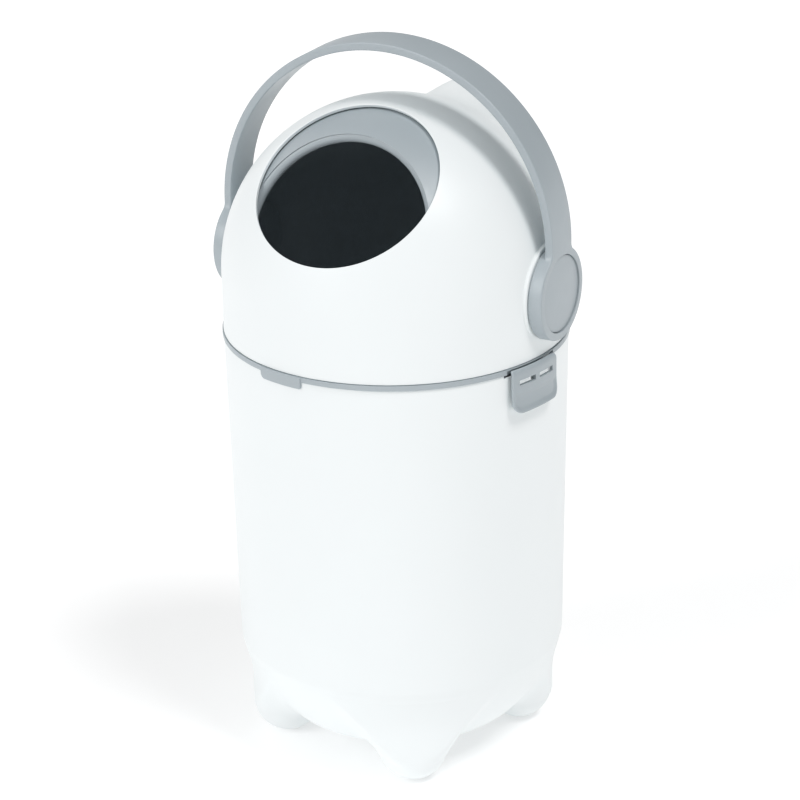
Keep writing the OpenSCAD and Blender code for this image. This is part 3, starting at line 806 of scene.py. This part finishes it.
def make_lugs(side):
    """Two small rounded blocks on the tub's side, sunk into its wall."""
    lugs = []
    for middle in (-SLOT_OFF, SLOT_OFF):
        spot = middle + LUG_SHIFT
        outline = rounded_box((spot - LUG_W / 2, SLOT_Z - LUG_H / 2),
                              (spot + LUG_W / 2, SLOT_Z + LUG_H / 2), LUG_ROUND, SMALL_STEPS)
        name = "lug_{}_{}".format(side, "front" if middle < 0 else "back")
        lug = plate_from_outline(name, outline, LUG_DEPTH)
        bevel_edges(lug.data, LUG_ROUND, SMALL_STEPS,
                    lambda edge: min(edge.verts[0].co.x, edge.verts[1].co.x) > (LUG_DEPTH - EDGE_SLACK) * MM)
        slice_plate(lug.data, {1: (spot - LUG_W / 2, spot + LUG_W / 2)}, BEND_STEP)
        bend_round(lug.data, lug_bend)
        lug.data.transform(TUB_SIDES[side])
        shade(lug.data, SHARP_SMALL)
        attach(lug, "base")
        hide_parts("tub")
        lugs.append(lug)
    return lugs


# The tub's low upright lip outside the collar's gasket, open behind each clasp
RIM_LIP_T = 1.0
RIM_LIP_LOW_Z = 343.0
RIM_LIP_TOP_Z = 346.5
RIM_LIP_ROUND = 0.3
RIM_LIP_HALF_ANGLE = math.radians(77.1)
RIM_LIP_FLAT_R = 344.0
RIM_LIP_STEP = 5.0


def rim_lip_bend(points):
    """Bends the flat strip, laid out as an arc of the flat radius, round the tub's rim."""
    radius = tub_out(points[:, 2]) - RIM_LIP_T + points[:, 0]
    angle = points[:, 1] / RIM_LIP_FLAT_R
    return np.stack((radius * np.cos(angle), radius * np.sin(angle), points[:, 2]), axis=1)


def make_rim_lips():
    lips = []
    top_z = RIM_LIP_TOP_Z - EDGE_SLACK
    for name, azimuth in (("front", -90), ("rear", 90)):
        half = RIM_LIP_HALF_ANGLE * RIM_LIP_FLAT_R
        outline = rounded_box((-half, RIM_LIP_LOW_Z), (half, RIM_LIP_TOP_Z), 0, 1)
        lip = plate_from_outline("rim_lip_" + name, outline, RIM_LIP_T)
        bevel_edges(lip.data, RIM_LIP_ROUND, SMALL_STEPS,
                    lambda edge: min(edge.verts[0].co.z, edge.verts[1].co.z) > top_z * MM)
        slice_plate(lip.data, {1: (-half, half)}, RIM_LIP_STEP)
        bend_round(lip.data, rim_lip_bend)
        lip.data.transform(Matrix.Rotation(math.radians(azimuth), 4, "Z"))
        shade(lip.data, SHARP_SMALL)
        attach(lip, "base")
        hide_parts("tub")
        lips.append(lip)
    return lips


# Softened edges on the CAD nodes that are shown as they are: widths in millimetres and angles in degrees
SOFT_EDGES = {"collar": 0.4, "head_floor": 0.3}
SOFT_STEPS = 3
SOFT_ANGLE = 32
FLAT_ANGLE = 0.4


def soften(name, width):
    node = nodes[name]
    weld = node.modifiers.new("weld", "WELD")
    weld.merge_threshold = 2 * WELD
    flat = node.modifiers.new("flat", "DECIMATE")
    flat.decimate_type = "DISSOLVE"
    flat.angle_limit = math.radians(FLAT_ANGLE)
    bevel = node.modifiers.new("bevel", "BEVEL")
    bevel.limit_method = "ANGLE"
    bevel.angle_limit = math.radians(SOFT_ANGLE)
    bevel.width = width * MM
    bevel.segments = SOFT_STEPS
    smooth = node.modifiers.new("smooth", "WEIGHTED_NORMAL")
    smooth.keep_sharp = True


# Materials: moulded plastic, rubber and steel, each with its own grain, gloss and slight changes of tone.
# Noise is given as (scale, detail, roughness), scales in waves per metre, and bump depths in metres
TONE_NOISE = (14.0, 3.0, 0.5)
SHEEN_NOISE = (38.0, 4.0, 0.6)
WAVE_NOISE = (9.0, 1.0, 0.5)
WAVE_DEPTH = 0.00012
WAVE_STRENGTH = 0.6
GRAIN_NOISE = (2.0, 0.5)
GRAIN_STRENGTH = 0.5
PLASTIC_GRAIN = (1400.0, 0.00002)
RUBBER_GRAIN = (2200.0, 0.00003)
STEEL_NOISE = (900.0, 3.0, 0.5)
STEEL_DEPTH = 0.00001
STEEL_STRENGTH = 0.4
NOISE_RANGE = (0.3, 0.7)
WHITE = (0.795, 0.845, 0.855)
WHITE_SHADE = (0.782, 0.832, 0.843)
WHITE_GLOSS = (0.34, 0.44)
GREY = (0.300, 0.339, 0.363)
GREY_SHADE = (0.287, 0.326, 0.350)
GREY_GLOSS = (0.36, 0.46)
BEARING = (0.62, 0.63, 0.62)
BEARING_SHADE = (0.58, 0.59, 0.58)
BEARING_GLOSS = (0.3, 0.4)
RUBBER = (0.030, 0.032, 0.036)
RUBBER_SHADE = (0.022, 0.024, 0.028)
RUBBER_GLOSS = (0.62, 0.78)
STEEL = (0.56, 0.57, 0.59)
STEEL_GLOSS = (0.24, 0.42)


def node_of(tree, kind, **inputs):
    made = tree.nodes.new(kind)
    for name, value in inputs.items():
        made.inputs[name.replace("_", " ")].default_value = value
    return made


def noise(tree, place, scale, detail, roughness):
    made = node_of(tree, "ShaderNodeTexNoise", Scale=scale, Detail=detail, Roughness=roughness)
    tree.links.new(place.outputs["Object"], made.inputs["Vector"])
    return made


def spread(tree, source, low, high):
    """The noise's usual range spread from low to high."""
    made = node_of(tree, "ShaderNodeMapRange", From_Min=NOISE_RANGE[0], From_Max=NOISE_RANGE[1],
                   To_Min=low, To_Max=high)
    tree.links.new(source.outputs["Fac"], made.inputs["Value"])
    return made.outputs["Result"]


def plastic(name, colour, darker, gloss, grain=PLASTIC_GRAIN):
    """Satin moulded plastic: a fine eroded grain, a faint slow wave, and small changes of tone and gloss."""
    material = bpy.data.materials.new(name)
    material.use_nodes = True
    tree = material.node_tree
    shader = tree.nodes["Principled BSDF"]
    place = tree.nodes.new("ShaderNodeTexCoord")
    tone = noise(tree, place, *TONE_NOISE)
    mix = tree.nodes.new("ShaderNodeMix")
    mix.data_type = "RGBA"
    mix.inputs[6].default_value = (*darker, 1)
    mix.inputs[7].default_value = (*colour, 1)
    tree.links.new(spread(tree, tone, 0, 1), mix.inputs[0])
    tree.links.new(mix.outputs[2], shader.inputs["Base Color"])
    sheen = noise(tree, place, *SHEEN_NOISE)
    tree.links.new(spread(tree, sheen, *gloss), shader.inputs["Roughness"])
    wave = noise(tree, place, *WAVE_NOISE)
    slow = node_of(tree, "ShaderNodeBump", Strength=WAVE_STRENGTH, Distance=WAVE_DEPTH)
    tree.links.new(wave.outputs["Fac"], slow.inputs["Height"])
    grain_scale, grain_depth = grain
    specks = noise(tree, place, grain_scale, *GRAIN_NOISE)
    fine = node_of(tree, "ShaderNodeBump", Strength=GRAIN_STRENGTH, Distance=grain_depth)
    tree.links.new(specks.outputs["Fac"], fine.inputs["Height"])
    tree.links.new(slow.outputs["Normal"], fine.inputs["Normal"])
    tree.links.new(fine.outputs["Normal"], shader.inputs["Normal"])
    return material


def steel(name):
    """Plain turned steel with fine rings of uneven gloss."""
    material = bpy.data.materials.new(name)
    material.use_nodes = True
    tree = material.node_tree
    shader = tree.nodes["Principled BSDF"]
    shader.inputs["Base Color"].default_value = (*STEEL, 1)
    shader.inputs["Metallic"].default_value = 1
    place = tree.nodes.new("ShaderNodeTexCoord")
    turned = noise(tree, place, *STEEL_NOISE)
    tree.links.new(spread(tree, turned, *STEEL_GLOSS), shader.inputs["Roughness"])
    fine = node_of(tree, "ShaderNodeBump", Strength=STEEL_STRENGTH, Distance=STEEL_DEPTH)
    tree.links.new(turned.outputs["Fac"], fine.inputs["Height"])
    tree.links.new(fine.outputs["Normal"], shader.inputs["Normal"])
    return material


def paint(item, material):
    item.data.materials.clear()
    item.data.materials.append(material)


# Camera, fitted to the photograph's own edges
CAMERA_AZIMUTH = math.radians(40.73)
CAMERA_ELEVATION = math.radians(22.12)
CAMERA_ROLL = math.radians(-1.088)
CAMERA_DISTANCE = 2.506
CAMERA_TARGET = Vector((0, 0, 0.3))
CAMERA_LENS = 143.04
CAMERA_SENSOR = 36.0
CAMERA_SHIFT = (0.0032, -0.0238)
CAMERA_FAR = 50.0


def direction(azimuth, elevation):
    """Unit vector towards an azimuth, which is 0 in front and grows to the right, and an elevation."""
    level = math.cos(elevation)
    return Vector((math.sin(azimuth) * level, -math.cos(azimuth) * level, math.sin(elevation)))


def make_camera():
    back = direction(CAMERA_AZIMUTH, CAMERA_ELEVATION)
    level_right = Vector((math.cos(CAMERA_AZIMUTH), math.sin(CAMERA_AZIMUTH), 0))
    level_up = back.cross(level_right)
    right = level_right * math.cos(CAMERA_ROLL) + level_up * math.sin(CAMERA_ROLL)
    up = level_up * math.cos(CAMERA_ROLL) - level_right * math.sin(CAMERA_ROLL)
    data = bpy.data.cameras.new("camera")
    data.lens = CAMERA_LENS
    data.sensor_width = CAMERA_SENSOR
    data.shift_x, data.shift_y = CAMERA_SHIFT
    data.clip_end = CAMERA_FAR
    camera = bpy.data.objects.new("camera", data)
    bpy.context.scene.collection.objects.link(camera)
    turn = Matrix((right, up, back)).transposed().to_4x4()
    camera.matrix_world = Matrix.Translation(CAMERA_TARGET + back * CAMERA_DISTANCE) @ turn
    bpy.context.scene.camera = camera


# Studio: a pale floor that glows faintly, a white surround and soft lights, each given as azimuth, elevation,
# strength and softness, angles in degrees. The view's curve holds back the brightest whites, like the photo's
WORLD_LIGHT = 0.25
WORLD_COLOUR = (0.97, 0.99, 1.0)
LIGHTS = {"key": (-14, 30, 1.53, 28), "front": (0, 60, 0.3, 40), "top": (0, 84, 0.14, 60),
          "right": (90, 60, 1.96, 20), "back": (-110, 30, 0.5, 50)}
LIGHT_DISTANCE = 3.0
FLOOR_SIDE = 30.0
FLOOR_GLOW = 0.3
FLOOR = (0.97, 0.97, 0.97)
FLOOR_SHADE = (0.96, 0.96, 0.96)
FLOOR_GLOSS = (0.55, 0.65)
VIEW_WHITE = 1.25
VIEW_CURVE = ((0.4, 0.5), (0.64, 0.75), (0.8, 0.865), (0.92, 0.945))


def soft_light(name, azimuth, elevation, strength, softness):
    """A broad light far away."""
    data = bpy.data.lights.new(name, "SUN")
    data.energy = strength
    data.angle = math.radians(softness)
    light = bpy.data.objects.new(name, data)
    bpy.context.scene.collection.objects.link(light)
    source = direction(math.radians(azimuth), math.radians(elevation))
    light.location = source * LIGHT_DISTANCE
    light.rotation_euler = (-source).to_track_quat("-Z", "Y").to_euler()


def make_studio():
    world = bpy.data.worlds.new("studio")
    bpy.context.scene.world = world
    world.use_nodes = True
    background = world.node_tree.nodes["Background"]
    background.inputs["Color"].default_value = (*WORLD_COLOUR, 1)
    background.inputs["Strength"].default_value = WORLD_LIGHT
    mesh = bpy.data.meshes.new("floor")
    side = FLOOR_SIDE
    corners = [(-side, -side, 0), (side, -side, 0), (side, side, 0), (-side, side, 0)]
    mesh.from_pydata(corners, [], [(0, 1, 2, 3)])
    floor = bpy.data.objects.new("floor", mesh)
    bpy.context.scene.collection.objects.link(floor)
    cover = plastic("floor_paint", FLOOR, FLOOR_SHADE, FLOOR_GLOSS)
    shader = cover.node_tree.nodes["Principled BSDF"]
    shader.inputs["Emission Color"].default_value = (1, 1, 1, 1)
    shader.inputs["Emission Strength"].default_value = FLOOR_GLOW
    paint(floor, cover)
    for name, values in LIGHTS.items():
        soft_light(name, *values)


def make_view():
    """Plain view with a shoulder: whites above the floor's own are pressed together softly."""
    view = bpy.context.scene.view_settings
    view.view_transform = "Standard"
    view.use_curve_mapping = True
    mapping = view.curve_mapping
    mapping.white_level = (VIEW_WHITE, VIEW_WHITE, VIEW_WHITE)
    line = mapping.curves[3]
    for place, height in VIEW_CURVE:
        line.points.new(place, height)
    mapping.update()


white = plastic("white_plastic", WHITE, WHITE_SHADE, WHITE_GLOSS)
grey = plastic("grey_plastic", GREY, GREY_SHADE, GREY_GLOSS)
bearing = plastic("bearing_plastic", BEARING, BEARING_SHADE, BEARING_GLOSS)
rubber = plastic("dark_rubber", RUBBER, RUBBER_SHADE, RUBBER_GLOSS, RUBBER_GRAIN)
metal = steel("plain_steel")

WHITE_NODES = ("tub", "dome", "head_floor")
RUBBER_NODES = ("collar_gasket", "mouth_seal", "floor_seal")
METAL_NODES = ("floor_screws", "hub_screws", "clasp_pin_right", "clasp_pin_left")
BEARING_NODES = ("bush_right", "bush_left")
for name, node in nodes.items():
    if name in WHITE_NODES:
        paint(node, white)
    elif name in RUBBER_NODES:
        paint(node, rubber)
    elif name in METAL_NODES:
        paint(node, metal)
    elif name in BEARING_NODES:
        paint(node, bearing)
    else:
        paint(node, grey)

paint(make_tub(), white)
paint(make_dome(), white)
for seat in make_seats():
    paint(seat, white)
paint(make_handle(), grey)
for cap in make_caps():
    paint(cap, grey)
for side in TUB_SIDES:
    paint(make_clasp(side), grey)
    for lug in make_lugs(side):
        paint(lug, white)
for lip in make_rim_lips():
    paint(lip, white)
for name, width in SOFT_EDGES.items():
    soften(name, width)

make_camera()
make_studio()
make_view()
